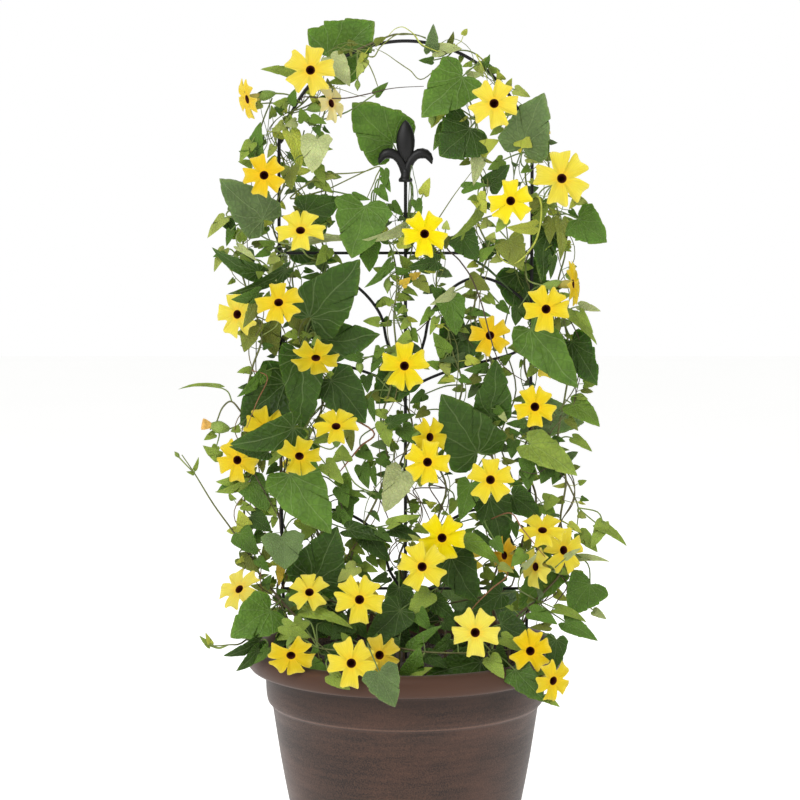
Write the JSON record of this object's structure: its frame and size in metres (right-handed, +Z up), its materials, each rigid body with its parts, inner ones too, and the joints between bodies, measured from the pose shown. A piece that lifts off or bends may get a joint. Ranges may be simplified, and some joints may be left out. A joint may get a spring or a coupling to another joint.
{
  "type": "potted black-eyed susan vine on a trellis",
  "caption": "Black-eyed susan vine with yellow dark-eyed blooms, twining up a black wire trellis with a fleur-de-lis finial in a round brown pot.",
  "frame": {"origin": "the middle of the pot's underside", "axes": "+Z up, +X to the viewer's right, -Y towards the front, where most blooms face"},
  "size_m": [0.4114, 0.4088, 0.8305],
  "materials": {
    "pot": "satin",
    "soil": "matte",
    "iron": "satin",
    "leaf": "satin",
    "petal": "matte"
  },
  "bodies": {
    "root": {"pot": "pot", "soil": "soil", "trellis_frame": "iron", "finial": "iron", "vine_left_leg": "leaf", "vine_left_outer": "leaf", "vine_left_inner": "leaf", "vine_center_left": "leaf", "vine_rod": "leaf", "vine_center_right": "leaf", "vine_right_inner": "leaf", "vine_right_leg": "leaf", "vine_right_outer": "leaf", "vine_back": "leaf", "vine_low": "leaf", "bloom_b1": "petal", "bloom_b2": "petal", "bloom_b3": "petal", "bloom_b4": "petal", "bloom_b5": "petal", "bloom_b6": "petal", "bloom_b7": "petal", "bloom_b8": "petal", "bloom_b9": "petal", "bloom_b10": "petal", "bloom_b11": "petal", "bloom_b12": "petal", "bloom_b13": "petal", "bloom_b14": "petal", "bloom_b15": "petal", "bloom_b16": "petal", "bloom_b17": "petal", "bloom_b18": "petal", "bloom_b19": "petal", "bloom_b20": "petal", "bloom_b21": "petal", "bloom_b22": "petal", "bloom_b23": "petal", "bloom_b24": "petal", "bloom_b25": "petal", "bloom_b26": "petal", "bloom_b27": "petal", "bloom_b28": "petal", "bloom_b29": "petal", "bloom_b30": "petal", "bloom_b31": "petal", "bloom_b32": "petal", "bloom_b33": "petal", "bloom_b34": "petal", "bloom_b35": "petal", "bloom_b36": "petal", "bloom_b37": "petal", "bloom_b38": "petal", "bloom_b39": "petal", "bloom_b40": "petal", "bloom_b41": "petal", "bloom_b42": "petal", "bloom_b43": "petal", "bloom_b44": "petal", "bloom_b45": "petal"}
  },
  "joints": []
}
